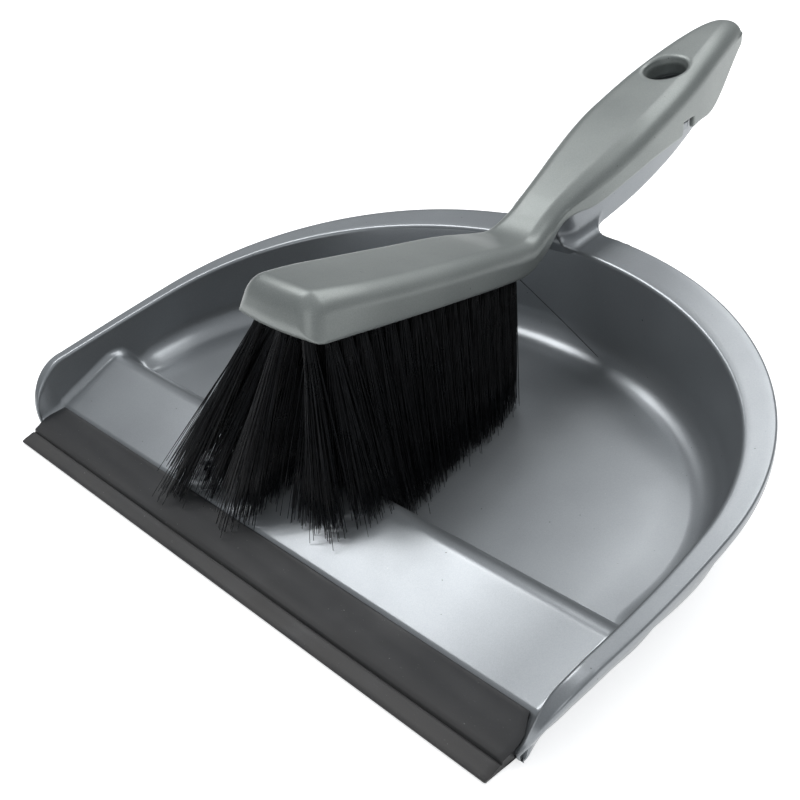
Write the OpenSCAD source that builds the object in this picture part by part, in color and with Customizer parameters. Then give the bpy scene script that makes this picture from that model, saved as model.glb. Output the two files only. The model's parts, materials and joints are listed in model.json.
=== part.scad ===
// Dustpan and hand brush, nested for storage. Millimetres, +Z up.
// The pan lies flat with its rubber lip towards -Y and its handle towards +Y.
// The origin is on the floor, at the middle of the whole object.

/* [Pan] */
// Width of the open front, along the rubber lip
lip_w = 220; // [210:1:230]
// Width of the pan over the rim, at its widest
rim_w = 248; // [246:1:256]
// Distance from the lip's front edge to the back of the rim
rim_back = 183; // [178:1:188]
// Height of the rim behind its front corners
rim_front_h = 21; // [19:0.5:23]
// Height of the rim at the back of the pan
rim_back_h = 42; // [40:0.5:44]
// Radius that turns the rim down to the lip at each front corner
corner_r = 19; // [17:0.5:20]
// Width of the flat flange at the front and at the back of the rim
flange_w = [5, 13]; // [4:1:14]
// Depth of the turned-down outer edge of the flange
hem_h = 3.5; // [3:0.1:5]
// Thickness of the moulded wall
wall = 2.2; // [2:0.1:2.4]
// Radius where the floor meets the side wall
cove_r = 8; // [6:0.5:8.5]
// Height of the ridge that keeps the dust in
crest_h = 12.8; // [11:0.2:14]

/* [Rubber lip] */
// Depth of the lip strip from front to back
lip_d = 18.7; // [17:0.1:20]
// Height of the lip strip at its back edge
lip_back_h = 6.2; // [6:0.1:6.5]
// Thickness of the sharp front blade
blade_t = 1.7; // [1.4:0.1:1.9]

/* [Brush] */
// Length of the whole set, from the lip to the tip of the brush handle
set_len = 298; // [297:1:302]
// Thickness of the hollow brush handle
shell_t = 2.2; // [2:0.1:2.4]
// Gap between the two nested handles
nest_gap = 0.4; // [0.3:0.05:0.6]
// Slope of the nested handles, in degrees
handle_tilt = 15.6; // [14:0.1:17]
// Radius of the hanging hole
hang_r = 8; // [6:0.5:8.5]
// Distance from the lip to the hanging hole
hang_y = 247; // [245:1:249]

/* [Bristles] */
// Rows of tufts along the head
tuft_rows = 17; // [14:1:17]
// Tufts in a full row
row_tufts = 5; // [3:1:5]
// Radius of a tuft where it leaves the head
tuft_r = 1.5; // [1.2:0.1:1.6]
// Radius of a tuft at its spread tip
tip_r = 2.2; // [1.8:0.1:2.4]
// Depth of the holes that hold the tufts
tuft_depth = 7.5; // [6:0.5:8]

/* [Hidden] */
$fn = 48;
eps = 0.01;
centre_y = set_len / 2;
rim_wide_y = 80;                         // where the pan is widest
rim_start_y = 9.5;                       // front edge of the side walls
corner_y = rim_start_y + corner_r;       // where the rim stops turning down
front_half = lip_w / 2 + 7.7;            // half width of the rim ahead of its corners
corner_pull = 7.2;                       // how far the rim's end is drawn in towards the lip
corner_thin = 3.8;                       // how much narrower the flange is at that end
back_power = 2.08;                       // squareness of the rim's back outline
back_widen = 2.4;                        // extra flange width round the back corners
draft = tan(5);                          // lean of the side walls
front_draft = 0.2;                       // how much more they lean beside the ramp
floor_t = 2.4;                           // thickness of the pan's floor
ramp_slope = 16;                         // rise of the ramp, in degrees
step_slope = 62;                         // fall behind the ridge, in degrees
crest_r = 8;                             // radius over the ridge
crest_y = 44.5;                          // distance from the lip to the ridge
step_r = 3;                              // radius at the foot of the step
under_edge = 5;                          // how far in from the lip's ends the ramp is open below
tongue_y = 9.5;                          // front edge of the tongue inside the lip
tongue_t = 1.4;                          // thickness of that tongue
tongue_drop = 0.9;                       // depth of the tongue's top below the ramp
slot_gap = 0.15;                         // clearance round the tongue
groove = [5.6, 0.5];                     // place and depth of the groove behind the blade
handle_root_y = 168;                     // front of the pan's handle
handle_end_y = 266;                      // end of the pan's handle
widest_y = 218;                          // where the handles are widest
lift_room = 5;                           // how far the brush moves forwards as it lifts clear
lug = [236.5, 5, 3.6];                   // latch lug: place, length and height
notch = [235.3, 8.7, 5.2];               // notch over the lug: place, length and height
collar_t = 2.2;                          // wall of the collar round the hanging hole
collar_h = 9;                            // depth of that collar
cup_r = hang_r + collar_t + 0.4;         // cup in the pan's handle that takes the collar
cup_depth = collar_h + 1;                // depth of that cup below the brush's top
tip_gap = 2.4;                           // gap from a tuft's tip to the pan
first_tuft_y = 46.5;                     // root of the first row
last_tuft_y = 137;                       // root of the last row
edge_margin = 5;                         // outer tufts to the side of the head
anchor = [2.6, 0.4, 1];                  // flat metal anchor: width, thickness and height

// Height of the brush along its top, [y, z]
brush_top = [[38.6, 65.5], [39.6, 68], [41, 70.6], [43, 73], [46, 74.5], [50, 74.6], [75, 68.6],
    [100, 62.7], [125, 57], [140, 52.6], [148, 51.2], [157, 54], [168, 58.8], [191, 67.2],
    [214, 75], [226, 78.3], [237, 81.3], [248, 84.2], [260, 87.2], [272, 89.9], [282, 91.6],
    [289, 92.1], [293, 91.3], [296, 89.4], [set_len, 86.5]];
// Height of the brush along its lower edge, [y, z]
brush_low = [[38.6, 62.7], [43, 62], [50, 60.6], [75, 55.5], [100, 50.3], [125, 45], [140, 41.9],
    [148, 41.9], [157, 44.6], [165, 50.6], [172, 52.2], [182, 52.2], [200, 57], [214, 60],
    [237, 62.2], [250, 63.6], [259, 63.6], [265, 65.2], [272, 69.2], [282, 76.2], [289, 80.6],
    [set_len, 84.6]];
// Half width of the brush, [y, x]
brush_half = [[38.6, 9.5], [39.4, 12], [41, 14.6], [43.5, 16.6], [48, 17.6], [56, 18], [68, 18.3],
    [85, 18.2], [110, 17.4], [125, 16.5], [137, 15], [146, 13], [154, 11.4], [161, 10.8],
    [168, 11.2], [180, 12.9], [191, 14.8], [205, 16.4], [218, 16.8], [237, 16.2], [248, 15.2],
    [260, 13.6], [272, 11.7], [282, 9.9], [289, 8.6], [293, 7.6], [296, 5.4], [set_len, 2.2]];

// --- Curves -----------------------------------------------------------------
// Smooth value at y through a list of [y, value] points
function span(y, t, i = 0) = i >= len(t) - 2 || y < t[i + 1][0] ? i : span(y, t, i + 1);
function slope_at(t, i) =
    let (a = t[max(i - 1, 0)], b = t[min(i + 1, len(t) - 1)])
    (b[1] - a[1]) / (b[0] - a[0]);
function smooth(y, t) =
    let (i = span(y, t), h = t[i + 1][0] - t[i][0], u = (y - t[i][0]) / h)
    t[i][1] * (1 + 2 * u) * (1 - u) * (1 - u) + slope_at(t, i) * h * u * (1 - u) * (1 - u)
    + t[i + 1][1] * u * u * (3 - 2 * u) - slope_at(t, i + 1) * h * u * u * (1 - u);

// Points on an arc, with angles measured from +Y towards +Z
function arc(c, r, a0, a1, n) =
    [for (i = [0 : n]) let (a = a0 + (a1 - a0) * i / n) [c[0] + r * cos(a), c[1] + r * sin(a)]];

// Height of the rim at y, behind its front corners
function rim_z(y) =
    let (u = (y - corner_y) / (rim_back - corner_y))
    rim_front_h + (rim_back_h - rim_front_h) * (0.52 * u + 0.48 * u * u);

// Share of the front corner's turn at y: 1 at the rim's end, 0 behind the corner
function turn_at(y) = asin(max(0, min(1, (corner_y - y) / corner_r))) / 90;
function ease(a, b, x) = let (u = max(0, min(1, (x - a) / (b - a)))) u * u * (3 - 2 * u);

// Rim outline of one half, from the front to the middle of the back
function side_pt(y) =
    [front_half + (rim_w / 2 - front_half) * sin(90 * y / rim_wide_y)
        - corner_pull * pow(turn_at(y), 1.7), y];
function back_pt(a) =
    [rim_w / 2 * pow(cos(a), 2 / back_power),
     rim_wide_y + (rim_back - rim_wide_y) * pow(sin(a), 2 / back_power)];
function half_rim(y0) = concat(
    [side_pt(y0)],
    [for (f = [0.88, 0.75, 0.6, 0.4, 0.2, 0]) side_pt(corner_y - corner_r * f)],
    [for (i = [1 : 4]) side_pt(corner_y + (rim_wide_y - corner_y) * i / 5)],
    [for (i = [0 : 17]) back_pt(90 * i / 17)]);
function inward(p) =
    p[1] < rim_wide_y ? [-1, 0]
    : let (n = [pow(max(0, p[0]), back_power - 1) / pow(rim_w / 2, back_power),
                pow(max(0, p[1] - rim_wide_y), back_power - 1)
                    / pow(rim_back - rim_wide_y, back_power)])
      -n / norm(n);
// Width of the flange at a place on the rim
function flange_at(p) =
    flange_w[0] + (flange_w[1] - flange_w[0]) * pow(p[1] / rim_back, 2)
    - corner_thin * ease(0.3, 1, turn_at(p[1]))
    + back_widen * p[0] / rim_w * 2 * max(0, p[1] - rim_wide_y) / (rim_back - rim_wide_y);

// Closed outline a fraction f of the flange width plus d inside the rim
function outline(f, d, y0) =
    let (h = [for (p = half_rim(y0)) p + inward(p) * (f * flange_at(p) + d)])
    concat(h, [for (i = [len(h) - 2 : -1 : 0]) [-h[i][0], h[i][1]]]);

// Side view of the rim from the lip backwards, lowered square to itself by d
function rim_line(d) = concat(
    arc([corner_y, rim_front_h - corner_r], corner_r - d, 180, 96, 8),
    [for (i = [1 : 14])
        let (y = corner_y + (rim_back + 2 - corner_y) * i / 14) [y, rim_z(y) - d]]);

// Side view of the floor from the tongue to the rear floor, lowered by d
function floor_line(d) =
    let (top = [crest_y, crest_h - crest_r],
         start = top + (crest_r - d) * [-sin(ramp_slope), cos(ramp_slope)],
         turn = top + (crest_r - d) * [sin(step_slope), cos(step_slope)],
         fall = turn[1] - (floor_t - d) - (step_r + d) * (1 - cos(step_slope)),
         foot = [turn[0] + fall / tan(step_slope) + (step_r + d) * sin(step_slope),
                 floor_t + step_r],
         run = start[0] - lip_d - 0.1)
    concat([[start[0] - run, start[1] - run * tan(ramp_slope)]],
        arc(top, crest_r - d, 90 + ramp_slope, 90 - step_slope, 8),
        arc(foot, step_r + d, 270 - step_slope, 270, 4));

// Height of the pan's inner surface at y
function floor_z(y) =
    y < lip_d ? max(blade_t, lip_back_h - (lip_d - y) * tan(ramp_slope))
    : y < crest_y + 0.2 ? min(crest_h, lip_back_h + (y - lip_d) * tan(ramp_slope))
    : max(floor_t, min(crest_h, crest_h + 2 - (y - crest_y) * 1.15));

// --- Solids -----------------------------------------------------------------
// Closed skin over a list of loops that have the same number of points
module skin(loops) {
    n = len(loops[0]);
    m = len(loops);
    polyhedron(
        points = [for (l = loops) for (p = l) p],
        faces = concat(
            [[for (i = [0 : n - 1]) i]],
            [for (j = [0 : m - 2]) for (i = [0 : n - 1])
                [j * n + i, (j + 1) * n + i, (j + 1) * n + (i + 1) % n, j * n + (i + 1) % n]],
            [[for (i = [n - 1 : -1 : 0]) (m - 1) * n + i]]),
        convexity = 6);
}

// Extrusion of a side view, [y, z] points, to a half width
module side_extrude(pts, half) {
    rotate([90, 0, 90]) translate([0, 0, -half]) linear_extrude(2 * half) polygon(pts);
}

// Solid inside the side walls: inset by d, standing on z0, coved at its foot
module tray_form(d, z0, y0) {
    levels = concat([for (a = [0 : 30 : 90]) [cove_r * (1 - sin(a)), cove_r * (1 - cos(a))]],
        [[0, rim_back_h + 6]]);
    skin([for (l = levels)
        let (z = z0 + l[1],
             h = [for (p = half_rim(y0))
                 let (lean = (rim_z(max(p[1], corner_y)) - z)
                     * (draft + front_draft * ease(80, 42, p[1])))
                 p + inward(p) * (flange_at(p) + lean + l[0] + d)],
             loop = concat(h, [for (i = [len(h) - 2 : -1 : 0]) [-h[i][0], h[i][1]]]))
        [for (p = loop) [p[0], p[1], z]]]);
}

// Cross-section of a handle or head at y: half width w, from zl to zt, corner radius r
function section(y, w, zl, zt, r) =
    let (c = min(r, w * 0.7, (zt - zl) * 0.8), steps = 4)
    concat([[-w, y, zl]],
        [for (i = [0 : steps]) let (a = 180 - 90 * i / steps)
            [-(w - c) + c * cos(a), y, zt - c + c * sin(a)]],
        [for (i = [0 : steps]) let (a = 90 - 90 * i / steps)
            [(w - c) + c * cos(a), y, zt - c + c * sin(a)]],
        [[w, y, zl]]);

// Places along the brush where its cross-section is taken
function stations(a, b, n) = [for (i = [0 : n]) a + (b - a) * i / n];
module brush_form(ys, side, top, drop, r) {
    skin([for (y = ys)
        section(y, smooth(y, brush_half) - side, smooth(y, brush_low) - drop,
            smooth(y, brush_top) - top, r)]);
}

// Frame square to the sloping handles, at the hanging hole on the brush's top
module at_hanging_hole() {
    translate([0, hang_y, smooth(hang_y, brush_top)]) rotate([handle_tilt, 0, 0]) children();
}

// Shape of the pan's handle, which fits inside the brush's by `inset`
module inner_handle(inset, y0, y1, low_drop) {
    ys = stations(y0, y1, 14);
    skin([for (y = ys)
        let (nose = min(1, 0.62 + (y - y0) / 18),
             ahead = lift_room * max(0, min(1, (y - widest_y) / 20)),
             w = (smooth(y + ahead, brush_half) - shell_t - nest_gap - inset) * sqrt(nose),
             zt = smooth(y, brush_top) - shell_t - nest_gap - inset,
             zl = max(rim_back_h - 1.6, rim_back_h + 0.27 * (y - rim_back)) - low_drop)
        section(y, w, min(zl, zt - 5), zt, 6)]);
}

// --- Pan --------------------------------------------------------------------
module tray_walls() {
    difference() {
        intersection() {
            tray_form(-wall, 0, rim_start_y);
            side_extrude(concat([[rim_start_y - 1, -1], [rim_start_y - 1, 1]], rim_line(0.6),
                [[rim_back + 2, -1]]), rim_w);
        }
        tray_form(0, floor_t, rim_start_y - 8);
        translate([-lip_w / 2 + under_edge, -1, -1])
            cube([lip_w - 2 * under_edge, crest_y + 10, floor_t + 2]);
        translate([-lip_w / 2 - slot_gap, 0, -1])
            cube([lip_w + 2 * slot_gap, lip_d + slot_gap, lip_back_h + 1]);
    }
}

module rim() {
    difference() {
        intersection() {
            side_extrude(concat(rim_line(0), [for (i = [22 : -1 : 0]) rim_line(2)[i]]), rim_w);
            linear_extrude(rim_back_h + 8) polygon(outline(0, 0, rim_start_y - 1));
        }
        translate([0, 0, -1]) linear_extrude(rim_back_h + 10) polygon(outline(1, 0, -2));
    }
    difference() {
        intersection() {
            side_extrude(concat(rim_line(0.4), [for (i = [22 : -1 : 0]) rim_line(hem_h)[i]]), rim_w);
            linear_extrude(rim_back_h + 8) polygon(outline(0, 0, rim_start_y - 1));
        }
        translate([0, 0, -1]) linear_extrude(rim_back_h + 10) polygon(outline(0, 1.6, -2));
    }
}

// Ramp, ridge and step, one moulded sheet, with the tongue that carries the lip
module ramp() {
    top = floor_line(0);
    low = floor_line(wall);
    tongue = [lip_d - tongue_y, (lip_d - tongue_y) * tan(ramp_slope)];
    under = top[0] - [0, tongue_drop];
    sheet = concat([under - tongue, under, top[0] + [0.4, 0]], top,
        [for (i = [len(low) - 1 : -1 : 1]) low[i]],
        [under - [0, tongue_t], under - tongue - [0, tongue_t]]);
    intersection() {
        side_extrude(sheet, rim_w);
        tray_form(-wall / 2, -6, tongue_y - 4);
        translate([-lip_w / 2, 0, 0]) cube([lip_w, rim_back, rim_back_h]);
    }
}

module dustpan() {
    color([0.62, 0.64, 0.65])
    translate([0, -centre_y, 0])
    difference() {
        union() {
            tray_walls();
            rim();
            ramp();
            inner_handle(0, handle_root_y, handle_end_y, 0);
            for (side = [-1, 1])
                translate([side * (smooth(lug[0], brush_half) - shell_t - 1), lug[0],
                    smooth(lug[0], brush_low) + 0.6])
                    translate([-1.6, 0, 0]) cube([3.2, lug[1], lug[2]]);
        }
        difference() {
            inner_handle(2, handle_root_y + 6, handle_end_y - 2, 12);
            at_hanging_hole() translate([0, 0, -cup_depth - 2]) cylinder(r = cup_r + 1.6, h = cup_depth);
        }
        at_hanging_hole() translate([0, 0, -cup_depth]) cylinder(r = cup_r, h = cup_depth - 1);
    }
}

// --- Rubber lip --------------------------------------------------------------
module rubber_lip() {
    slope = tan(ramp_slope);
    back = [lip_d, lip_back_h];
    shoulder = [groove[0] + 0.6, lip_back_h - (lip_d - groove[0] - 0.6) * slope];
    flap = 1.15;
    slot_h = tongue_t + 2 * slot_gap;
    slot_y = tongue_y - slot_gap;
    slot_z = lip_back_h - flap - (lip_d - slot_y) * slope;
    profile = [[0, 0.3], [0.3, 0], [15.2, 0], [16, 0.8], [16, lip_back_h - flap - slot_h - (lip_d - 16) * slope],
        [slot_y, slot_z - slot_h], [slot_y, slot_z], [lip_d, lip_back_h - flap], back, shoulder,
        [groove[0], shoulder[1] - groove[1]], [groove[0] - 0.5, blade_t + 0.1], [1, 1.1], [0, 0.8]];
    color([0.13, 0.14, 0.15])
    translate([0, -centre_y, 0])
    side_extrude(profile, lip_w / 2);
}

// --- Brush ------------------------------------------------------------------
module brush_stock() {
    color([0.66, 0.68, 0.66])
    translate([0, -centre_y, 0])
    difference() {
        union() {
            difference() {
                brush_form(concat([38.6, 39.1, 39.8, 41, 42.6, 44.6, 47, 51], stations(57, 282, 32),
                    [286, 289.5, 292, 294, 295.6, 297, set_len]), 0, 0, 0, 6.5);
                brush_form(stations(164, 286, 22), shell_t, shell_t, 12, 5);
            }
            intersection() {
                at_hanging_hole() translate([0, 0, -collar_h]) cylinder(r = hang_r + collar_t, h = collar_h);
                brush_form(stations(215, 280, 10), 1, 0.8, 0, 6);
            }
        }
        at_hanging_hole() translate([0, 0, -30]) cylinder(r = hang_r, h = 40);
        for (side = [-1, 1])
            translate([side * smooth(notch[0], brush_half) - 4, notch[0], smooth(notch[0], brush_low) - 1])
                cube([8, notch[1], notch[2] + 1]);
        for (k = [1 : tuft_rows], x = row_x(k))
            place_tuft(k, x) translate([0, 0, -tuft_depth - 1.4])
                cylinder(r = tuft_r + 0.1, h = tuft_depth + 3, $fn = 16);
    }
}

// --- Bristles ---------------------------------------------------------------
// Row k runs from 1 at the front to tuft_rows at the neck
function along(k) = (k - 1) / (tuft_rows - 1);
function root_y(k) = first_tuft_y + (last_tuft_y - first_tuft_y) * along(k);
function row_x(k) =
    let (n = k == 1 ? row_tufts - 2 : row_tufts,
         reach = smooth(root_y(k), brush_half) - edge_margin - (k == 1 ? 3 : 0))
    [for (i = [0 : n - 1]) n == 1 ? 0 : reach * (2 * i / (n - 1) - 1)];
function root_pt(k, x) = [x, root_y(k), smooth(root_y(k), brush_low)];
// The front rows are swept forwards and to the left, as bristles are after some use
function tip_pt(k, x) =
    let (fan = pow(1 - along(k), 2),
         y = root_y(k) - 18 + fan * (0.7 * x + 0.045 * x * x - 9.5),
         spread = 2.05 + 0.75 * pow(1 - along(k), 3))
    [x * spread - 2.5 * fan, y, max(floor_z(y - 3), floor_z(y), floor_z(y + 3)) + tip_gap];

// Frame at a tuft's root, with +Z pointing away from its tip
module place_tuft(k, x) {
    d = root_pt(k, x) - tip_pt(k, x);
    translate(root_pt(k, x))
        rotate([0, acos(d[2] / norm(d)), atan2(d[1], d[0])])
        mirror([0, 0, 1]) children();
}

module tuft_row(k) {
    color([0.04, 0.05, 0.06])
    translate([0, -centre_y, 0])
    for (x = row_x(k))
        place_tuft(k, x) {
            translate([0, 0, -tuft_depth]) cylinder(r = tuft_r, h = tuft_depth + eps, $fn = 16);
            cylinder(r1 = tuft_r, r2 = tip_r, h = norm(root_pt(k, x) - tip_pt(k, x)), $fn = 16);
        }
}

module tuft_anchors() {
    color([0.75, 0.75, 0.76])
    translate([0, -centre_y, 0])
    for (k = [1 : tuft_rows], x = row_x(k))
        place_tuft(k, x)
            translate([-anchor[0] / 2, -anchor[1] / 2, -tuft_depth - anchor[2] - 0.1]) cube(anchor);
}

dustpan();
rubber_lip();
brush_stock();
tuft_anchors();
for (k = [1 : tuft_rows])
    tuft_row(k);
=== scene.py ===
import json
import math

import bpy
import numpy as np
from mathutils import Matrix, Vector


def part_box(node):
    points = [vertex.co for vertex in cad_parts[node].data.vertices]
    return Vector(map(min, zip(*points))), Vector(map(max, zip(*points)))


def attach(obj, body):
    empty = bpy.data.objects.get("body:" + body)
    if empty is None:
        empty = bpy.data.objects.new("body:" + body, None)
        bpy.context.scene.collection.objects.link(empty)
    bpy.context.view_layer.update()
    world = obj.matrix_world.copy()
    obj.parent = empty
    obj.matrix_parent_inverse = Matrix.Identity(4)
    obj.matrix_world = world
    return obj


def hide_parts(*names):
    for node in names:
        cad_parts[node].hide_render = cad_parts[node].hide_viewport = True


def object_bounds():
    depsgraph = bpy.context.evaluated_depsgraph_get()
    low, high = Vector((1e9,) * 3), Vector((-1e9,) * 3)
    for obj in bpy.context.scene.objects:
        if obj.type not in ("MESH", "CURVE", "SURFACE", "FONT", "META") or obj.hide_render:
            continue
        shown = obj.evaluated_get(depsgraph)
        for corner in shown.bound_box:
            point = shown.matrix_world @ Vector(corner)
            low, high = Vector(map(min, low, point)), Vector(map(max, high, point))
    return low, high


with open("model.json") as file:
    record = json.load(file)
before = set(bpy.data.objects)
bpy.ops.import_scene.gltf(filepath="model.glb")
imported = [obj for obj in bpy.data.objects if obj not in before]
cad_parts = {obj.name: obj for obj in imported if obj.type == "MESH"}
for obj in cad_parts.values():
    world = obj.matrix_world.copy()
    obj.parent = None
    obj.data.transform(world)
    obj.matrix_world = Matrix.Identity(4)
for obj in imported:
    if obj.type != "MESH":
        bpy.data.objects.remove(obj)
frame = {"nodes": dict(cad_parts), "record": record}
cad_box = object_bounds()

# Sizes are in millimetres. x is across the pan, y runs back from the lip's front edge, z is height.
MM = 0.001
# These come from the frame. FRONT stays in metres.
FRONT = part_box("rubber_lip")[0].y
LIP_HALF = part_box("rubber_lip")[1].x / MM
RIM_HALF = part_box("dustpan")[1].x / MM
BRUSH_END = (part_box("brush_stock")[1].y - FRONT) / MM
PAN_HANDLE_END = (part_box("dustpan")[1].y - FRONT) / MM
HOLE = next(m for m in frame["record"]["mounts"] if m["name"] == "hanging_hole")

# Rim: its places and heights, how square its back is, and the flange and hem round it
RIM_START, RIM_WIDE, RIM_BACK = 28, 80.0, 183.0
RIM_FRONT_H, RIM_BACK_H = 21.0, 42.0
CORNER_OUT = 7.7
BACK_POWER, BACK_WIDEN = 2.08, 2.4
FLANGE_FRONT, FLANGE_GROWTH, FLANGE_T = 5, 8, 1.8
HEM_FRONT_H, HEM_H = 2.2, 3.5
# Front corners, where the rim turns down: centre, radius, how far it is drawn in and thinned
CORNER_Y, CORNER_Z, CORNER_R = 28.5, 2.0, 19.0
CORNER_PULL, CORNER_THIN = 8.8, 3.8
# Floor, walls with their lean, ramp and ridge, and the tongue inside the lip
FLOOR_T, WALL = 2.4, 2.2
DRAFT, FRONT_DRAFT = math.tan(math.radians(5)), 0.2
COVE_FRONT_R, COVE_BACK_R = 3.5, 11.0
RAMP_SLOPE, STEP_SLOPE = math.radians(16), math.radians(62)
CREST_H, CREST_R, CREST_Y, STEP_R = 12.8, 8.0, 44.5, 3.0
TONGUE_DROP, TONGUE_T = 0.9, 1.4
# Rubber lip: depth from front to back, height at the back, and where its thin blade ends
LIP_D, LIP_BACK_H, BLADE_D = 18.7, 6.2, 5.8
# Handles: shell, gap between the two, and where the pan's handle begins and is hollow
SHELL_T, NEST_GAP = 2.2, 0.4
HANDLE_ROOT, HANDLE_HOLLOW = 168, 184
HANDLE_WIDEST, LIFT_ROOM = 218, 5
LUG_Y, NOTCH_Y = 239, 239.6
COLLAR_OUT_R, CUP_R, CUP_WALL_R = 10.2, 10.6, 12.2
# Brush: end of the head, start and end of the handle's hollow, and the tufts
HEAD_BACK, NECK_HOLLOW, HOLLOW_END = 150.0, 164.0, 286.0
FIRST_TUFT_Y, LAST_TUFT_Y = 46.5, 137.0
TUFT_ROWS, ROW_TUFTS, TUFT_R = 17, 5, 1.5
TUFT_FIBRES = 105

# Height of the brush along its top and its lower edge, and its half width: [y, value]
BRUSH_TOP = [[37, 74.2], [43, 74.9], [50, 74.6], [75, 68.6], [100, 62.7], [125, 57], [140, 52.6],
             [148, 51.2], [157, 54], [168, 58.8], [191, 67.2], [214, 75], [226, 78.3],
             [237, 81.3], [248, 84.2], [260, 87.2], [272, 89.9], [282, 91.6], [289, 91.95],
             [293, 91.2], [296, 89.4], [298, 86.5]]
BRUSH_LOW = [[37, 62.9], [43, 62], [50, 60.6], [75, 55.5], [100, 50.3], [125, 45], [140, 41.9],
             [148, 41.9], [157, 44.6], [165, 50.6], [172, 52.2], [182, 52.2], [200, 57],
             [214, 60], [237, 62.2], [250, 63.6], [259, 63.6], [265, 65.2], [272, 69.2],
             [282, 76.2], [289, 80.6], [298, 84.6]]
BRUSH_HALF = [[37, 18.2], [48, 18.1], [56, 18.1], [68, 18.3], [85, 18.2], [110, 17.4], [125, 16.5],
              [137, 15], [146, 13], [154, 11.4], [161, 10.8], [168, 11.2], [180, 12.9],
              [191, 14.8], [205, 16.4], [218, 16.8], [237, 16.2], [248, 15.2], [260, 13.6],
              [272, 11.7], [282, 9.9], [289, 8.6], [293, 7.6], [296, 5.4], [298, 2.2]]


# --- Curves ------------------------------------------------------------------
def smooth(y, table):
    """Smooth values at y through a list of [y, value] points."""
    pts = np.asarray(table, float)
    ty, tv = pts[:, 0], pts[:, 1]
    last = len(ty) - 1
    slope = np.array([(tv[min(i + 1, last)] - tv[max(i - 1, 0)])
                      / (ty[min(i + 1, last)] - ty[max(i - 1, 0)]) for i in range(last + 1)])
    y = np.clip(np.asarray(y, float), ty[0], ty[-1])
    i = np.clip(np.searchsorted(ty, y, side="right") - 1, 0, last - 1)
    h = ty[i + 1] - ty[i]
    u = (y - ty[i]) / h
    v = 1 - u
    return (tv[i] * (1 + 2 * u) * v * v + slope[i] * h * u * v * v
            + tv[i + 1] * u * u * (3 - 2 * u) - slope[i + 1] * h * u * u * v)


def ease(a, b, x):
    """0 before a, 1 after b and smooth in between."""
    u = np.clip((np.asarray(x, float) - a) / (b - a), 0, 1)
    return u * u * (3 - 2 * u)


def rim_z(y):
    """Height of the rim behind its front corners."""
    u = (np.asarray(y, float) - RIM_START) / (RIM_BACK - RIM_START)
    return RIM_FRONT_H + (RIM_BACK_H - RIM_FRONT_H) * (0.52 * u + 0.48 * u * u)


def side_x(y):
    """Half width over the rim in front of the widest place."""
    narrow = LIP_HALF + CORNER_OUT
    return narrow + (RIM_HALF - narrow) * np.sin(np.pi / 2 * np.asarray(y, float) / RIM_WIDE)


def flange_width(y):
    return FLANGE_FRONT + FLANGE_GROWTH * (np.asarray(y, float) / RIM_BACK) ** 2


def floor_profile(drop):
    """Side view of ramp, ridge and rear floor as (y, z), lowered square to itself."""
    def arc(cy, cz, r, a0, a1, n):
        a = np.radians(np.linspace(a0, a1, n))
        return np.stack([cy + r * np.cos(a), cz + r * np.sin(a)], 1)
    ramp_deg, step_deg = math.degrees(RAMP_SLOPE), math.degrees(STEP_SLOPE)
    over = arc(CREST_Y, CREST_H - CREST_R, CREST_R - drop, 90 + ramp_deg, 90 - step_deg, 16)
    fall = over[-1, 1] - (FLOOR_T - drop) - (STEP_R + drop) * (1 - math.cos(STEP_SLOPE))
    foot_y = over[-1, 0] + fall / math.tan(STEP_SLOPE) + (STEP_R + drop) * math.sin(STEP_SLOPE)
    foot = arc(foot_y, FLOOR_T + STEP_R, STEP_R + drop, 270 - step_deg, 270, 8)
    run = over[0, 0]
    first = [[0, over[0, 1] - run * math.tan(RAMP_SLOPE)]]
    return np.concatenate([first, over, foot, [[RIM_BACK, FLOOR_T - drop]]])


def floor_z(y):
    """Height of the pan's inner surface on the middle line, with the lip's top in front."""
    y = np.asarray(y, float)
    line = floor_profile(0)
    z = np.interp(y, line[:, 0], line[:, 1])
    return np.where(y < LIP_D, lip_top(y), z)


def lip_top(y):
    """Height of the rubber lip's top surface."""
    y = np.asarray(y, float)
    main = LIP_BACK_H - (LIP_D - y) * math.tan(RAMP_SLOPE)
    blade = 0.9 + 0.17 * y
    return np.where(y < BLADE_D, blade, np.maximum(blade, main))


# --- Meshes ------------------------------------------------------------------
def make_object(name, points, faces, material, flip=False, sharp=None):
    """Object from points in millimetres, smooth shaded."""
    co = np.asarray(points, float) * MM
    co[:, 1] += FRONT
    mesh = bpy.data.meshes.new(name)
    mesh.from_pydata(co.tolist(), [], [list(map(int, f)) for f in faces])
    mesh.validate()
    if flip:
        mesh.flip_normals()
    mesh.polygons.foreach_set("use_smooth", [True] * len(mesh.polygons))
    mesh.update()
    if sharp is not None:
        mesh.set_sharp_from_angle(angle=math.radians(sharp))
    obj = bpy.data.objects.new(name, mesh)
    bpy.context.scene.collection.objects.link(obj)
    mesh.materials.append(material)
    return obj


def weld(points, faces, tol=1e-4):
    """Joins points that fall on each other and drops faces that vanish."""
    key = np.round(np.asarray(points) / tol).astype(np.int64)
    _, first, back = np.unique(key, axis=0, return_index=True, return_inverse=True)
    back = back.ravel()
    kept = []
    for f in faces:
        g = []
        for v in back[list(f)]:
            if not g or g[-1] != v:
                g.append(v)
        if len(g) > 1 and g[0] == g[-1]:
            g.pop()
        if len(g) > 2 and len(set(g)) == len(g):
            kept.append(g)
    return np.asarray(points)[first], kept


def grid_faces(rows, cols, start=0):
    """Quads over a grid of points stored row by row."""
    i, j = np.meshgrid(np.arange(rows - 1), np.arange(cols - 1), indexing="ij")
    a = (start + i * cols + j).ravel()
    return np.stack([a, a + 1, a + cols + 1, a + cols], 1)


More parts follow.
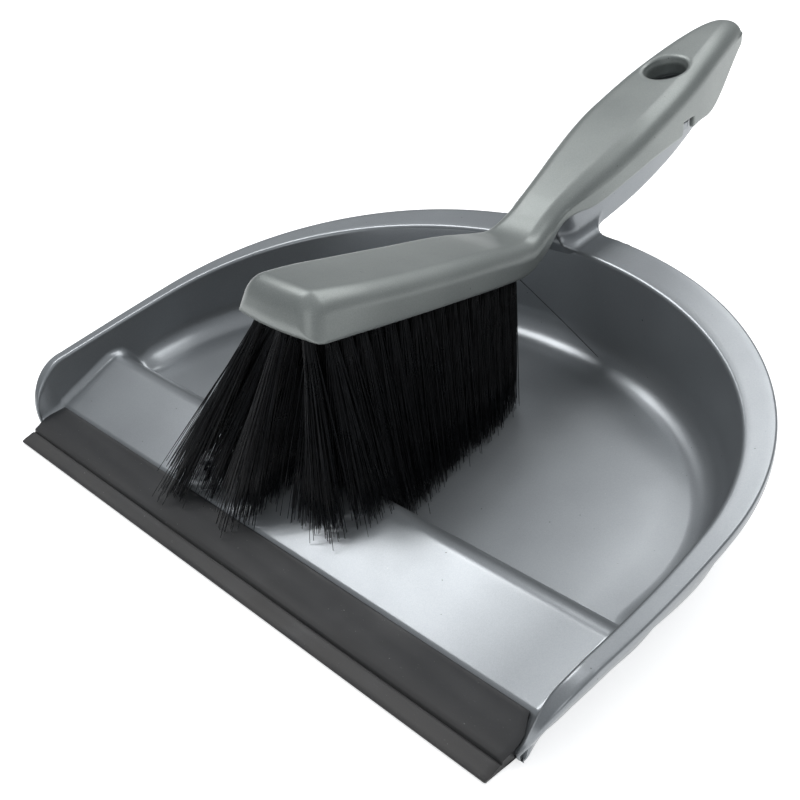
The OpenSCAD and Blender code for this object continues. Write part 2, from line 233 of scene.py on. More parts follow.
def surface_net(field, low, high, cell):
    """Quad mesh of the surface where field(x, y, z) is 0, inside negative, drawn on to it exactly."""
    axes = [np.arange(a, b + cell, cell) for a, b in zip(low, high)]
    shape = [len(a) for a in axes]
    value = np.empty(shape, np.float32)
    for i, x in enumerate(axes[0]):
        value[i] = field(np.full((shape[1], shape[2]), x), axes[1][:, None] + 0 * axes[2][None, :],
                         0 * axes[1][:, None] + axes[2][None, :])
    inside = value < 0
    n = [s - 1 for s in shape]
    total, count = np.zeros((*n, 3), np.float32), np.zeros(n, np.float32)
    corner = [slice(0, -1), slice(1, None)]
    for axis in range(3):
        others = [a for a in range(3) if a != axis]
        for p in (0, 1):
            for q in (0, 1):
                s0, s1 = [None] * 3, [None] * 3
                s0[axis], s1[axis] = corner[0], corner[1]
                s0[others[0]] = s1[others[0]] = corner[p]
                s0[others[1]] = s1[others[1]] = corner[q]
                v0, v1 = value[tuple(s0)], value[tuple(s1)]
                cross = (v0 < 0) != (v1 < 0)
                t = np.where(cross, v0 / np.where(cross, v0 - v1, 1), 0)
                count += cross
                total[..., axis] += t
                total[..., others[0]] += p * cross
                total[..., others[1]] += q * cross
    used = count > 0
    index = np.full(n, -1, np.int64)
    index[used] = np.arange(used.sum())
    cells = np.argwhere(used)
    points = np.array([a[0] for a in axes]) + (cells + total[used] / count[used][:, None]) * cell
    faces = []
    for axis in range(3):
        b, c = [(1, 2), (2, 0), (0, 1)][axis]
        edge = [slice(0, -1) if a == axis else slice(1, -1) for a in range(3)]
        nxt = list(edge)
        nxt[axis] = slice(1, None)
        change = inside[tuple(edge)] != inside[tuple(nxt)]
        at = np.argwhere(change) + [0 if a == axis else 1 for a in range(3)]
        filled = inside[tuple(at.T)]
        step_b, step_c = np.eye(3, dtype=int)[b], np.eye(3, dtype=int)[c]
        quad = np.stack([index[tuple((at - step_b - step_c).T)], index[tuple((at - step_c).T)],
                         index[tuple(at.T)], index[tuple((at - step_b).T)]], 1)
        quad[~filled] = quad[~filled][:, ::-1]
        faces.append(quad)
    h = 0.02
    for _ in range(4):
        x, y, z = points.T
        f = field(x, y, z)
        slope = np.stack([field(x + h, y, z) - field(x - h, y, z),
                          field(x, y + h, z) - field(x, y - h, z),
                          field(x, y, z + h) - field(x, y, z - h)], 1) / (2 * h)
        step = f[:, None] * slope / np.maximum((slope ** 2).sum(1), 0.2)[:, None]
        length = np.linalg.norm(step, axis=1)[:, None]
        points = points - step * np.minimum(1, 0.4 * cell / np.maximum(length, 1e-9))
    return points, np.concatenate(faces)


def join_soft(a, b, k):
    """Union of two fields with a fillet of about k."""
    h = np.clip(0.5 + 0.5 * (b - a) / k, 0, 1)
    return b + (a - b) * h - k * h * (1 - h)


def meet_soft(a, b, k):
    """Intersection of two fields with a rounded edge of about k."""
    return -join_soft(-a, -b, k)


def bar_section(x, z, half, low, top, r_top, r_low):
    """Distance in a cross-section to a box with rounded upper and lower edges."""
    mid = (low + top) / 2
    r = np.where(z > mid, np.minimum(r_top, half * 0.9), r_low)
    qx = np.abs(x) - half + r
    qz = np.abs(z - mid) - (top - low) / 2 + r
    out = np.sqrt(np.maximum(qx, 0) ** 2 + np.maximum(qz, 0) ** 2)
    return out + np.minimum(np.maximum(qx, qz), 0) - r


# --- Materials ---------------------------------------------------------------
class Nodes:
    """Short calls to build a material's node tree."""

    def __init__(self, name):
        self.mat = bpy.data.materials.new(name)
        self.mat.use_nodes = True
        self.tree = self.mat.node_tree
        self.shader = self.tree.nodes["Principled BSDF"]
        self.coords = self.tree.nodes.new("ShaderNodeTexCoord").outputs["Object"]

    def link(self, a, b):
        self.tree.links.new(a, b)

    def scaled(self, scale):
        node = self.tree.nodes.new("ShaderNodeMapping")
        node.inputs["Scale"].default_value = scale
        self.link(self.coords, node.inputs["Vector"])
        return node.outputs["Vector"]

    def noise(self, scale, detail=2.0, rough=0.5, vector=None, distort=0.0):
        node = self.tree.nodes.new("ShaderNodeTexNoise")
        node.inputs["Scale"].default_value = scale
        node.inputs["Detail"].default_value = detail
        node.inputs["Roughness"].default_value = rough
        node.inputs["Distortion"].default_value = distort
        self.link(vector or self.coords, node.inputs["Vector"])
        return node.outputs["Fac"]

    def cell_colours(self, scale):
        node = self.tree.nodes.new("ShaderNodeTexVoronoi")
        node.inputs["Scale"].default_value = scale
        self.link(self.coords, node.inputs["Vector"])
        return node.outputs["Color"]

    def span(self, value, a, b, low, high):
        node = self.tree.nodes.new("ShaderNodeMapRange")
        node.interpolation_type = "SMOOTHSTEP"
        for slot, number in zip(("From Min", "From Max", "To Min", "To Max"), (a, b, low, high)):
            node.inputs[slot].default_value = number
        self.link(value, node.inputs["Value"])
        return node.outputs["Result"]

    def math(self, kind, a, b):
        node = self.tree.nodes.new("ShaderNodeMath")
        node.operation = kind
        for slot, given in zip(node.inputs, (a, b)):
            if isinstance(given, (int, float)):
                slot.default_value = given
            else:
                self.link(given, slot)
        return node.outputs[0]

    def mix(self, factor, a, b):
        node = self.tree.nodes.new("ShaderNodeMix")
        node.data_type = "RGBA"
        self.link(factor, node.inputs["Factor"])
        for slot, given in ((node.inputs[6], a), (node.inputs[7], b)):
            if isinstance(given, tuple):
                slot.default_value = (*given, 1)
            else:
                self.link(given, slot)
        return node.outputs[2]

    def axis(self, name):
        node = self.tree.nodes.new("ShaderNodeSeparateXYZ")
        self.link(self.coords, node.inputs[0])
        return node.outputs[name]

    def bump(self, height, strength, distance, after=None):
        node = self.tree.nodes.new("ShaderNodeBump")
        node.inputs["Strength"].default_value = strength
        node.inputs["Distance"].default_value = distance
        self.link(height, node.inputs["Height"])
        if after is not None:
            self.link(after, node.inputs["Normal"])
        return node.outputs["Normal"]

    def set(self, **values):
        for name, given in values.items():
            slot = self.shader.inputs[name.replace("_", " ")]
            if isinstance(given, tuple):
                slot.default_value = (*given, 1)
            elif isinstance(given, (int, float)):
                slot.default_value = given
            else:
                self.link(given, slot)


def silver_plastic(name, dark, light, metal, rough, gloss_coat, wave):
    """Silver-pigmented moulded plastic: fine flakes, soft waviness, scuffs and a little dust."""
    m = Nodes(name)
    flakes = m.cell_colours(5200)
    grey = m.tree.nodes.new("ShaderNodeRGBToBW")
    m.link(flakes, grey.inputs[0])
    clouds = m.noise(28, 3)
    tone = m.math("ADD", m.math("MULTIPLY", grey.outputs[0], 0.3),
                  m.math("MULTIPLY", clouds, 0.7))
    colour = m.mix(m.span(tone, 0.2, 0.8, 0, 1), dark, light)
    streak = m.noise(1, 4, 0.6, m.scaled((900, 60, 300)), 0.6)
    scuff = m.span(streak, 0.7, 0.84, 0, 1)
    specks = m.span(m.noise(1500, 1), 0.8, 0.83, 0, 1)
    pits = m.span(m.noise(760, 1), 0.8, 0.82, 0, 1)
    colour = m.mix(m.math("MULTIPLY", specks, 0.4), colour, (0.5, 0.5, 0.48))
    colour = m.mix(m.math("MULTIPLY", pits, 0.7), colour, (0.02, 0.02, 0.02))
    wear = m.span(m.noise(90, 3, 0.6), 0.35, 0.75, -0.008, 0.01)
    roughness = m.math("ADD", m.math("ADD", wear, m.math("MULTIPLY", scuff, 0.06)), rough)
    skin = m.bump(m.noise(wave, 1), 0.08, 0.0002)
    fine = m.bump(grey.outputs[0], 0.04, 0.00002, skin)
    fine = m.bump(scuff, 0.08, 0.00002, fine)
    m.set(Base_Color=colour, Roughness=roughness, Metallic=metal, Normal=fine,
          Coat_Weight=gloss_coat, Coat_Roughness=0.16)
    return m.mat


def rubber():
    """Black rubber, lighter in patches towards the front as a painted sheen, with fine scratches and
    crumbs.
    """
    m = Nodes("black_rubber")
    front = m.span(m.axis("Y"), FRONT, FRONT + 0.013, 1, 0)
    patches = m.noise(60, 4, 0.6)
    # painted sheen: the lip's front is made lighter in patches to stand in for its shine
    front_sheen = m.math("MULTIPLY", front, m.span(patches, 0.25, 0.7, 0.35, 1))
    colour = m.mix(front_sheen, (0.016, 0.017, 0.019), (0.045, 0.043, 0.042))
    scratch = m.span(m.noise(1, 3, 0.5, m.scaled((260, 1500, 900)), 2.5), 0.7, 0.76, 0, 1)
    crumbs = m.span(m.noise(1100, 1), 0.77, 0.8, 0, 1)
    marks = m.math("MAXIMUM", m.math("MULTIPLY", scratch, 0.35), m.math("MULTIPLY", crumbs, 0.6))
    colour = m.mix(marks, colour, (0.16, 0.16, 0.16))
    roughness = m.span(patches, 0.2, 0.8, 0.42, 0.55)
    normal = m.bump(m.noise(420, 3, 0.6), 0.2, 0.0001)
    normal = m.bump(marks, 0.3, 0.00008, normal)
    m.set(Base_Color=colour, Roughness=roughness, Normal=normal, Specular_IOR_Level=0.4)
    return m.mat


def bristle():
    """Black polymer fibre with a slight change of tone from fibre to fibre."""
    m = Nodes("bristle_black")
    tone = m.noise(700, 1, 0.5, m.scaled((1, 1, 0.05)))
    colour = m.mix(m.span(tone, 0.35, 0.7, 0, 1), (0.0015, 0.002, 0.003), (0.006, 0.007, 0.009))
    roughness = m.span(m.noise(160, 2), 0.3, 0.7, 0.26, 0.42)
    m.set(Base_Color=colour, Roughness=roughness, Specular_IOR_Level=0.3)
    return m.mat


def steel():
    """Drawn flat wire with marks along its length."""
    m = Nodes("anchor_steel")
    lines = m.noise(1, 3, 0.6, m.scaled((400, 6000, 6000)))
    colour = m.mix(lines, (0.42, 0.42, 0.43), (0.66, 0.66, 0.67))
    m.set(Base_Color=colour, Metallic=1.0, Roughness=m.span(lines, 0.3, 0.7, 0.25, 0.45),
          Normal=m.bump(lines, 0.3, 0.00003))
    return m.mat


PAN_PLASTIC = silver_plastic("pan_silver", dark=(0.235, 0.25, 0.265), light=(0.285, 0.303, 0.318),
                             metal=0.6, rough=0.29, gloss_coat=0.2, wave=60)
BRUSH_PLASTIC = silver_plastic("brush_silver", dark=(0.2, 0.218, 0.212), light=(0.28, 0.3, 0.29),
                               metal=0.45, rough=0.4, gloss_coat=0.04, wave=45)
RUBBER = rubber()
BRISTLE = bristle()
STEEL = steel()


# --- Pan ---------------------------------------------------------------------
def rim_stations():
    """Places along the right half of the rim, from the lip round to the middle of the back.

    For each place: the outline's x, y and z, the flange's width, the hem's direction in y and z,
    the inward normal in x and y, and the share of the way from the widest place to the back.
    """
    below = np.linspace(1, 0, 5)[:-1]
    t = np.linspace(1, 0, 30)
    turn = np.pi / 2 * t                          # how far the front corner has turned down
    corner_y, corner_z = CORNER_Y - CORNER_R * np.sin(turn), CORNER_Z + CORNER_R * np.cos(turn)
    side = np.concatenate([np.arange(30, 38, 1.0), np.arange(38, 60, 0.4),
                           np.arange(60, RIM_WIDE, 1.25)])
    round_a = np.linspace(0, np.pi / 2, 150)
    across, up = np.cos(round_a) ** (2 / BACK_POWER), np.sin(round_a) ** (2 / BACK_POWER)
    nb, nc, ns, nr = len(below), len(t), len(side), len(round_a)
    taper = np.concatenate([np.ones(nb), t, np.zeros(ns + nr)])
    y = np.concatenate([np.full(nb, corner_y[0]), corner_y, side,
                        RIM_WIDE + (RIM_BACK - RIM_WIDE) * up])
    z = np.concatenate([CORNER_Z - 1.4 * below, corner_z, rim_z(side), rim_z(y[nb + nc + ns:])])
    x = np.concatenate([side_x(np.full(nb, CORNER_Y)), side_x(np.maximum(corner_y, CORNER_Y)),
                        side_x(side), RIM_HALF * across])
    x = x - CORNER_PULL * taper ** 1.7
    width = flange_width(y) - CORNER_THIN * ease(0.3, 1, taper)
    width[nb + nc + ns:] += BACK_WIDEN * across * up
    down_y = np.concatenate([np.ones(nb), np.sin(turn), np.zeros(ns + nr)])
    down_z = np.concatenate([np.zeros(nb), -np.cos(turn), -np.ones(ns + nr)])
    nx = np.concatenate([-np.ones(nb + nc + ns), -across ** (BACK_POWER - 1) / RIM_HALF])
    ny = np.concatenate([np.zeros(nb + nc + ns),
                         -up ** (BACK_POWER - 1) / (RIM_BACK - RIM_WIDE)])
    length = np.hypot(nx, ny)
    behind = np.concatenate([np.zeros(nb + nc + ns), round_a / (np.pi / 2)])
    return x, y, z, width, down_y, down_z, nx / length, ny / length, behind


def pan_shell():
    """The pan's tray: floor, ramp, ridge, walls, flange and hem as one closed skin."""
    xo, yr, zr, width, dy, dz, nx, ny, behind = rim_stations()
    inner_r, outer_r = np.minimum(1.3, width * 0.3), np.minimum(1.0, width * 0.25)
    hem_t = np.minimum(1.5, width * 0.42)
    hem = HEM_FRONT_H + (HEM_H - HEM_FRONT_H) * ease(9, 24, zr)

    def on_rim(q, h):
        """Points q in from the rim's outline and h below its top."""
        rise = np.where(ny < 0, rim_z(yr + ny * q) - rim_z(yr), 0)
        return np.stack([xo + nx * q, yr + ny * q + dy * h, zr + rise + dz * h], 1)

    wall_top = on_rim(width, inner_r)
    xs, ys, zs = wall_top.T
    line, under = floor_profile(0), floor_profile(WALL)
    zf = np.interp(ys, line[:, 0], line[:, 1]) - np.where(ys < LIP_D + 0.05, TONGUE_DROP, 0)
    zf = np.minimum(zf, zs - 0.1)
    zu = np.where(ys < LIP_D + 0.05, zf - TONGUE_T, np.interp(ys, under[:, 0], under[:, 1]))
    zu = np.where(ys > 54, 0.0, np.clip(zu, 0.1, zf - 0.2))
    cove = COVE_FRONT_R + (COVE_BACK_R - COVE_FRONT_R) * ease(44, 62, ys)
    cove = np.minimum(cove, 0.7 * (zs - zf))
    draft = DRAFT + FRONT_DRAFT * ease(80, 42, ys)
    lean = np.arctan(draft)

    def on_wall(q, z):
        """Points q in from the wall's top edge at height z."""
        return np.stack([xs + nx * q, ys + ny * q, z + 0 * q], 1)

    centre_z = zf + cove
    centre_q = (zs - centre_z) * draft + cove / np.cos(lean)
    start_q, start_z = centre_q - cove * np.cos(lean), centre_z - cove * np.sin(lean)
    foot_r = np.minimum(3 + (cove + 0.4 - 3 + 2) * ease(48, 64, ys), 0.45 * zs)
    base = np.where(ys < LIP_D + 1, 0.15, 0.0)
    foot_q = (zs - foot_r) * draft + (foot_r - WALL) / np.cos(lean)
    back_q = np.where(ys < 54, np.maximum(xs - (LIP_HALF - 7), foot_q + 0.6), foot_q + 4)
    mid_y = np.where(ny < 0, RIM_WIDE + 70 * behind, ys)

    rows = []
    floor_edge = on_wall(centre_q, zf)
    middle = np.stack([0 * xs, mid_y, zf], 1)
    for u in np.linspace(0, 1, 12)[:-1]:
        rows.append(middle + (floor_edge - middle) * u)
    for u in np.linspace(0, 1, 11):
        a = 1.5 * np.pi + (lean - np.pi / 2) * u
        rows.append(on_wall(centre_q + cove * np.cos(a), centre_z + cove * np.sin(a)))
    for u in np.linspace(0, 1, 9)[1:]:
        rows.append(on_wall(start_q * (1 - u), start_z + (zs - start_z) * u))
    for a in np.linspace(np.pi / 2, 0, 8)[1:]:
        rows.append(on_rim(width - inner_r + inner_r * math.sin(a), inner_r * (1 - math.cos(a))))
    for u in np.linspace(0, 1, 6)[1:]:
        rows.append(on_rim(width - inner_r + (outer_r - width + inner_r) * u, 0 * xo))
    for a in np.linspace(0, np.pi / 2, 7)[1:]:
        rows.append(on_rim(outer_r * (1 - math.sin(a)), outer_r * (1 - math.cos(a))))
    for a in np.linspace(0, np.pi, 7):
        rows.append(on_rim(hem_t / 2 * (1 - math.cos(a)), hem - hem_t / 2 * (1 - math.sin(a))))
    rows.append(on_rim(hem_t, 0 * xo + FLANGE_T + 0.2))
    rows.append(on_rim(hem_t + 0.2, 0 * xo + FLANGE_T))
    outer_q = np.maximum(width - WALL, hem_t + 0.25)
    rows.append(on_rim(outer_q - 0.05, 0 * xo + FLANGE_T))
    outer_top = rows[-1]
    target = on_wall(foot_q - foot_r * np.cos(lean), foot_r * (1 - np.sin(lean)) + base)
    for u in np.linspace(0, 1, 8)[1:]:
        rows.append(outer_top + (target - outer_top) * u)
    for u in np.linspace(0, 1, 9)[1:]:
        a = np.pi + lean + (np.pi / 2 - lean) * u
        rows.append(on_wall(foot_q + foot_r * np.cos(a), foot_r * (1 + np.sin(a)) + base))
    rows.append(on_wall(back_q - 0.4, base))
    rows.append(on_wall(back_q, np.maximum(base, np.minimum(zu, base + 0.4))))
    rows.append(on_wall(back_q + 0.1, np.maximum(zu, base)))
    low_edge = rows[-1]
    low_mid = np.stack([0 * xs, mid_y, np.maximum(zu, base)], 1)
    for u in np.linspace(0, 1, 9)[1:]:
        rows.append(low_edge + (low_mid - low_edge) * u)
    right = np.stack(rows, 1)
    left = right[::-1][1:] * [-1, 1, 1]
    whole = np.concatenate([right, left])
    c, v = whole.shape[:2]
    points, faces = weld(whole.reshape(-1, 3), grid_faces(c, v).tolist())
    return make_object("pan_tray", points, faces, PAN_PLASTIC)


def handle_ahead(y):
    """The pan's handle narrows early towards its end, so that the brush lifts off square to it."""
    return LIFT_ROOM * np.clip((y - HANDLE_WIDEST) / 20, 0, 1)


def hole_axes(x, y, z):
    """Distance from the hanging hole's axis and height along it, from the brush's top."""
    axis = Vector(HOLE["axis"])
    at = Vector(HOLE["pos_m"])
    px, py, pz = x - at.x / MM, y - (at.y - FRONT) / MM, z - at.z / MM
    middle = px * axis.x + py * axis.y + pz * axis.z
    square = px * px + py * py + pz * pz - middle * middle
    return np.sqrt(np.maximum(square, 0)), middle - HOLE["dims"]["length_mm"] / 2


def pan_handle_field(x, y, z):
    """Signed distance to the pan's handle and the part of the flange that it grows out of."""
    half = smooth(y + handle_ahead(y), BRUSH_HALF) - SHELL_T - NEST_GAP
    top = smooth(y, BRUSH_TOP) - SHELL_T - NEST_GAP
    low = np.maximum(RIM_BACK_H - 1.6, RIM_BACK_H + 0.27 * (y - RIM_BACK))
    solid = bar_section(x, z, half, low, top, 6, 0.6)
    solid = meet_soft(solid, HANDLE_ROOT - y, 7)
    solid = meet_soft(solid, y - PAN_HANDLE_END, 2)
    behind = np.maximum(y - RIM_WIDE, 0) / (RIM_BACK - RIM_WIDE)
    spread = ((np.abs(x) / RIM_HALF) ** BACK_POWER + behind ** BACK_POWER) ** (1 / BACK_POWER)
    out = (spread - 1) * (RIM_BACK - RIM_WIDE)
    plate = np.abs(z - rim_z(y) + 1.2) - 1.05
    plate = np.maximum(plate, np.maximum(out + 0.15, -out - 12.7))
    hem = np.abs(z - rim_z(y) + HEM_H / 2) - HEM_H / 2 + 0.15
    hem = np.maximum(hem, np.maximum(out + 0.15, -out - 1.3))
    plate = np.maximum(np.minimum(plate, hem), np.abs(x) - 30)
    body = join_soft(solid, plate, 7)
    hollow = bar_section(x, z, half - 2, low - 30, top - 2, 5, 0.5)
    hollow = meet_soft(hollow, np.maximum(HANDLE_HOLLOW - y, y - PAN_HANDLE_END + 2), 2)
    body = meet_soft(body, -hollow, 0.8)
    ring, along = hole_axes(x, y, z)
    cup = np.maximum(ring - CUP_WALL_R, np.maximum(along + 3.4, -along - 12))
    body = join_soft(body, np.maximum(cup, solid + 0.3), 0.8)
    opening = np.maximum(ring - CUP_R, np.maximum(along - 1, -along - 10))
    body = meet_soft(body, -opening, 0.8)
    lug_x = smooth(LUG_Y - 1, BRUSH_HALF) - SHELL_T - 1
    lug_z = smooth(LUG_Y - 1, BRUSH_LOW) + 2.4
    lug = np.maximum(np.maximum(np.abs(np.abs(x) - lug_x) - 1.6, np.abs(y - LUG_Y) - 2.5),
                     np.abs(z - lug_z) - 1.8)
    return join_soft(body, lug, 0.6)


def pan_handle():
    """The pan's hollow handle, with the fillet that runs out on to the flange."""
    points, faces = surface_net(pan_handle_field, (-32, 160, 37), (32, 268, 92), 0.6)
    return make_object("pan_handle", points, faces, PAN_PLASTIC)


# --- Rubber lip --------------------------------------------------------------
def lip_half(y):
    """Half width of the lip strip, which swells where it meets the foot of the side wall."""
    y = np.asarray(y, float)
    return LIP_HALF + 0.1 + 0.9 * ease(4, 11, y) - 2.6 * ease(12, 19, y)


def rubber_strip():
    """The rubber lip with its thin blade, groove, thick flap and slot for the pan's tongue."""
    def arc(cy, cz, r, a0, a1, n):
        a = np.radians(np.linspace(a0, a1, n))
        return [[cy + r * math.cos(t), cz + r * math.sin(t)] for t in a]
    step = math.tan(RAMP_SLOPE)
    profile = arc(0.45, 0.45, 0.45, 260, 110, 7)
    profile += [[1.5, 1.12], [3.2, 1.42], [4.6, 1.68]]
    profile += [[5.1, 1.68], [5.3, 1.4], [5.6, 1.4], [BLADE_D, 2.0]]
    profile += arc(6.35, 2.15, 0.5, 170, 110, 4)
    profile += [[y, LIP_BACK_H - (LIP_D - y) * step] for y in (7.5, 9.5, 11.5, 13.5, 15.5, 17.3)]
    profile += arc(LIP_D - 0.35, LIP_BACK_H - 0.42, 0.35, 100, 0, 5)
    profile += [[LIP_D, LIP_BACK_H - 1.0], [LIP_D - 0.2, LIP_BACK_H - 1.15]]
    profile += [[9.4, LIP_BACK_H - 1.15 - (LIP_D - 9.4) * step], [9.4, 0.9], [12, 1.0], [15.8, 2.2]]
    profile += arc(15.5, 0.5, 0.5, 30, -80, 4) + [[12, 0.02], [8, 0.0], [4, 0.0]]
    profile = np.array(profile)
    n = len(profile)
    across = np.concatenate([[-1], np.linspace(-0.997, 0.997, 120), [1]])
    points = []
    for s in across:
        inset = 0.0 if abs(s) < 1 else 0.25
        for y, z in profile:
            half = float(lip_half(y)) - 0.35 * (y < 1.2)
            ripple = 0.06 * math.sin(9 * s + y) * (z > 0.5)
            points.append([s * half, y + inset * (1 if y < 9 else -1) * 0.6,
                           z + ripple - inset * 0.4 * (z > 1)])
    faces = []
    for i in range(len(across) - 1):
        for j in range(n):
            a, b = i * n + j, i * n + (j + 1) % n
            faces.append([a, b, b + n, a + n])
    faces.append(list(range(n))[::-1])
    faces.append([(len(across) - 1) * n + j for j in range(n)])
    pts = np.array(points)
    pts[:, 2] = np.maximum(pts[:, 2], 0.0)
    return make_object("lip_strip", pts, faces, RUBBER, flip=True, sharp=40)


# --- Brush stock -------------------------------------------------------------
def stock_field(x, y, z):
    """Signed distance to the brush stock: head, neck and hollow handle in one moulding."""
    half = smooth(y, BRUSH_HALF)
    top, low = smooth(y, BRUSH_TOP), smooth(y, BRUSH_LOW)
    head = ease(HEAD_BACK, HEAD_BACK - 25, y)
    lean = 0.11 * np.clip(top - z, 0, 16) * head  # the head widens downwards
    crown = 0.0016 * x * x                        # its top is slightly crowned
    # and its front narrows upwards
    nose = 2.6 * ease(68, 40, y) * np.clip((z - low) / (top - low), 0, 1)
    solid = bar_section(x, z + crown, half - 1.3 * head + lean - nose, low + crown, top,
                        5.6 + 1.9 * ease(160, 200, y), 0.9)
    solid = solid / math.sqrt(1.08)               # keeps the field close to a distance
    front = 39.2 + 0.46 * (z - 62) + 0.006 * x * x  # sloping front face
    solid = meet_soft(solid, (front - y) / 1.1, 5.5)
    solid = meet_soft(solid, y - BRUSH_END, 2)
    hollow = bar_section(x, z, half - SHELL_T, low - 30, top - SHELL_T, 5, 0.5)
    hollow = meet_soft(hollow, np.maximum(NECK_HOLLOW - y, y - HOLLOW_END), 3)
    shell = meet_soft(solid, -hollow, 0.9)
    ring, along = hole_axes(x, y, z)
    collar = np.maximum(ring - COLLAR_OUT_R, np.maximum(along + 0.8, -along - 9))
    shell = join_soft(shell, np.maximum(collar, solid + 0.4), 0.8)
    shell = meet_soft(shell, 7.6 - ring, 3.2)
    notch = np.maximum(np.abs(y - NOTCH_Y) - 4.3, z - smooth(LUG_Y, BRUSH_LOW) - 5.2)
    notch = np.maximum(notch, half - 4 - np.abs(x))
    return meet_soft(shell, -notch, 0.5)


def brush_stock():
    """Head, neck and hollow handle of the brush, with its hanging hole and notches."""
    points, faces = surface_net(stock_field, (-20, 37, 40), (20, 299.5, 94), 0.55)
    return make_object("brush_body", points, faces, BRUSH_PLASTIC)


# --- Bristles ----------------------------------------------------------------
def row_share(row):
    """0 for the front row and 1 for the back row."""
    return (row - 1) / (TUFT_ROWS - 1)


def row_root_y(row):
    return FIRST_TUFT_Y + (LAST_TUFT_Y - FIRST_TUFT_Y) * row_share(row)


def row_places(row):
    """Places of a row's tufts across the head. The front row has two tufts fewer."""
    n = ROW_TUFTS - 2 if row == 1 else ROW_TUFTS
    reach = float(smooth(row_root_y(row), BRUSH_HALF)) - 5 - (3 if row == 1 else 0)
    return [reach * (2 * i / (n - 1) - 1) for i in range(n)]


def tuft_tip(row, x):
    """Where a tuft ends. The front rows are swept forwards and to the left."""
    ahead = 1 - row_share(row)
    fan = ahead ** 2
    y = row_root_y(row) - 18 + fan * (0.7 * x + 0.045 * x * x - 9.5)
    return x * (2.05 + 0.75 * ahead ** 3) - 2.5 * fan, y


def fibre_tube(path, radii, sides, points, faces):
    """Adds a thin tapered tube along a path."""
    start = len(points)
    direction = path[-1] - path[0]
    direction = direction / np.linalg.norm(direction)
    u = np.cross(direction, [0.31, 0.9, 0.2])
    u = u / np.linalg.norm(u)
    v = np.cross(direction, u)
    angles = np.arange(sides) * 2 * np.pi / sides
    for centre, r in zip(path, radii):
        for a in angles:
            points.append(centre + r * (math.cos(a) * u + math.sin(a) * v))
    for i in range(len(path) - 1):
        for j in range(sides):
            a, b = start + i * sides + j, start + i * sides + (j + 1) % sides
            faces.append([a, b, b + sides, a + sides])
    faces.append([start + (len(path) - 1) * sides + j for j in range(sides)])


def bend_fibre(start, middle, end, radii, points, faces):
    """One fibre along a curve through its root, a control point and its tip."""
    t = np.linspace(0, 1, len(radii))[:, None]
    path = (1 - t) ** 2 * start + 2 * t * (1 - t) * middle + t ** 2 * end
    fibre_tube(path, radii, 3, points, faces)


def stray_fibres(row, points, faces):
    """Two fibres that have come loose: one sticks out at the back, one curls by the side."""
    thin = [0.16] * 9 + [0.1]
    if row == TUFT_ROWS:
        bend_fibre(np.array([11.0, 137, 43]), np.array([27.0, 143, 27]),
                   np.array([40.0, 145, 16]), thin, points, faces)
    if row == TUFT_ROWS // 2:
        bend_fibre(np.array([12.0, 92, 50]), np.array([31.0, 84, 28]),
                   np.array([17.0, 84, 14]), thin, points, faces)


def tuft_row(row):
    """One row of tufts, each a bundle of separate fibres that splay towards their tips."""
    rng = np.random.default_rng(100 + row)
    points, faces = [], []
    root_y = row_root_y(row)
    ahead = 1 - row_share(row)
    for x in row_places(row):
        tip_x, tip_y = tuft_tip(row, x)
        root = np.array([x, root_y, float(smooth(root_y, BRUSH_LOW)) + 1.0])
        for _ in range(TUFT_FIBRES):
            a, r = rng.uniform(0, 2 * np.pi), math.sqrt(rng.uniform())
            off = np.array([math.cos(a), math.sin(a)]) * r
            p0 = root + np.array([off[0] * TUFT_R, off[1] * TUFT_R, 0])
            spread = rng.normal(0, 1.2, 2) * (1 + 0.7 * ahead) + off * (3.0 + 2.0 * ahead)
            end_x, end_y = tip_x + spread[0], tip_y + spread[1]
            length = rng.uniform(0.0, 1.0) ** 3 * 5 + 0.4
            p2 = np.array([end_x, end_y, float(floor_z(end_y)) + length])
            mid = (p0 + p2) / 2 + np.array([rng.normal(0, 0.35), rng.normal(0, 0.35), 0])
            bend_fibre(p0, mid, p2, [0.15, 0.15, 0.145, 0.135, 0.1], points, faces)
    stray_fibres(row, points, faces)
    return make_object(f"bristles_{row}", points, faces, BRISTLE)


# --- Camera, lights and floor ------------------------------------------------
def add_camera():
    """Camera at the photograph's viewing angle: above the front right corner."""
    yaw, pitch, roll = math.radians(47.87), math.radians(33.02), math.radians(-6.76)
    ahead = Vector((-math.sin(yaw) * math.cos(pitch), math.cos(yaw) * math.cos(pitch),
                    -math.sin(pitch)))
    level = Vector((math.cos(yaw), math.sin(yaw), 0))
    upright = level.cross(ahead)
    right = level * math.cos(roll) + upright * math.sin(roll)
    up = upright * math.cos(roll) - level * math.sin(roll)
    data = bpy.data.cameras.new("camera")
    data.lens = 43.71
    data.sensor_width = 36
    data.clip_start = 0.01
    cam = bpy.data.objects.new("camera", data)
    bpy.context.scene.collection.objects.link(cam)
    turn = Matrix((right, up, -ahead)).transposed().to_4x4()
    cam.matrix_world = Matrix.Translation((0.2039, FRONT - 0.0969, 0.1925)) @ turn
    bpy.context.scene.camera = cam


def add_area(name, place, target, size, power):
    data = bpy.data.lights.new(name, "AREA")
    data.shape = "RECTANGLE"
    data.size, data.size_y = size
    data.energy = power
    lamp = bpy.data.objects.new(name, data)
    bpy.context.scene.collection.objects.link(lamp)
    lamp.location = place
    lamp.rotation_mode = "QUATERNION"
    lamp.rotation_quaternion = (Vector(target) - Vector(place)).to_track_quat("-Z", "Y")


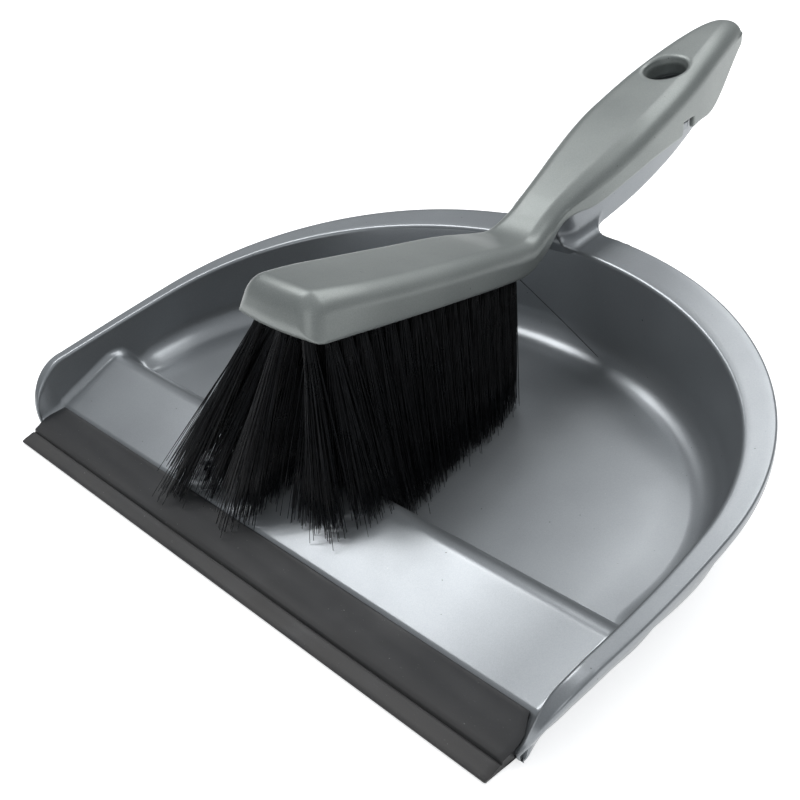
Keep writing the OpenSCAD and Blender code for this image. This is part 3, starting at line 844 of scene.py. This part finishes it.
def add_surroundings():
    """Pale floor, soft lamps and a studio that darkens towards the horizon."""
    m = Nodes("studio_floor")
    tone = m.noise(3, 3)
    m.set(Base_Color=m.mix(tone, (0.86, 0.86, 0.86), (0.9, 0.9, 0.9)), Roughness=0.75,
          Emission_Color=(1.0, 1.0, 1.0), Emission_Strength=0.6)
    size = 6.0
    ground = bpy.data.meshes.new("studio_floor")
    ground.from_pydata([(-size, -size, 0), (size, -size, 0), (size, size, 0), (-size, size, 0)],
                       [], [(0, 1, 2, 3)])
    ground.materials.append(m.mat)
    floor = bpy.data.objects.new("studio_floor", ground)
    floor.location.z = cad_box[0].z - 0.0003
    bpy.context.scene.collection.objects.link(floor)

    world = bpy.data.worlds.new("studio")
    world.use_nodes = True
    tree = world.node_tree
    sky = tree.nodes["Background"]
    coords = tree.nodes.new("ShaderNodeTexCoord")
    split = tree.nodes.new("ShaderNodeSeparateXYZ")
    ramp = tree.nodes.new("ShaderNodeValToRGB")
    ramp.color_ramp.elements[0].position = 0.0
    ramp.color_ramp.elements[0].color = (0.2, 0.21, 0.22, 1)
    ramp.color_ramp.elements[1].position = 1.0
    ramp.color_ramp.elements[1].color = (0.8, 0.82, 0.84, 1)
    middle = ramp.color_ramp.elements.new(0.45)
    middle.color = (0.4, 0.42, 0.44, 1)
    tree.links.new(coords.outputs["Generated"], split.inputs[0])
    tree.links.new(split.outputs["Z"], ramp.inputs["Fac"])
    tree.links.new(ramp.outputs["Color"], sky.inputs["Color"])
    sky.inputs["Strength"].default_value = 0.8
    bpy.context.scene.world = world

    add_area("key_left", (-0.9, 0.15, 1.35), (0, 0, 0), (0.7, 0.5), 7.5)
    add_area("top_back", (0.1, 0.9, 1.2), (0, 0, 0.02), (1.4, 0.5), 8)
    add_area("front_fill", (0.7, -1.3, 0.9), (0, 0, 0.02), (1.0, 0.8), 3)
    bpy.context.scene.view_settings.view_transform = "Standard"


# --- Assembly ----------------------------------------------------------------
add_camera()
add_surroundings()

for piece, body, slot, nodes in (
        (pan_shell(), "pan", "pan_plastic", ["dustpan"]),
        (pan_handle(), "pan", "pan_plastic", ["dustpan"]),
        (rubber_strip(), "pan", "lip_rubber", ["rubber_lip"]),
        (brush_stock(), "brush", "brush_plastic", ["brush_stock"])):
    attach(piece, body)
    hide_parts(*nodes)

for row in range(1, TUFT_ROWS + 1):
    bundle = tuft_row(row)
    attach(bundle, "brush")
    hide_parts(f"tuft_row_{row}")

anchors = frame["nodes"]["tuft_anchors"]
anchors.data.materials.clear()
anchors.data.materials.append(STEEL)
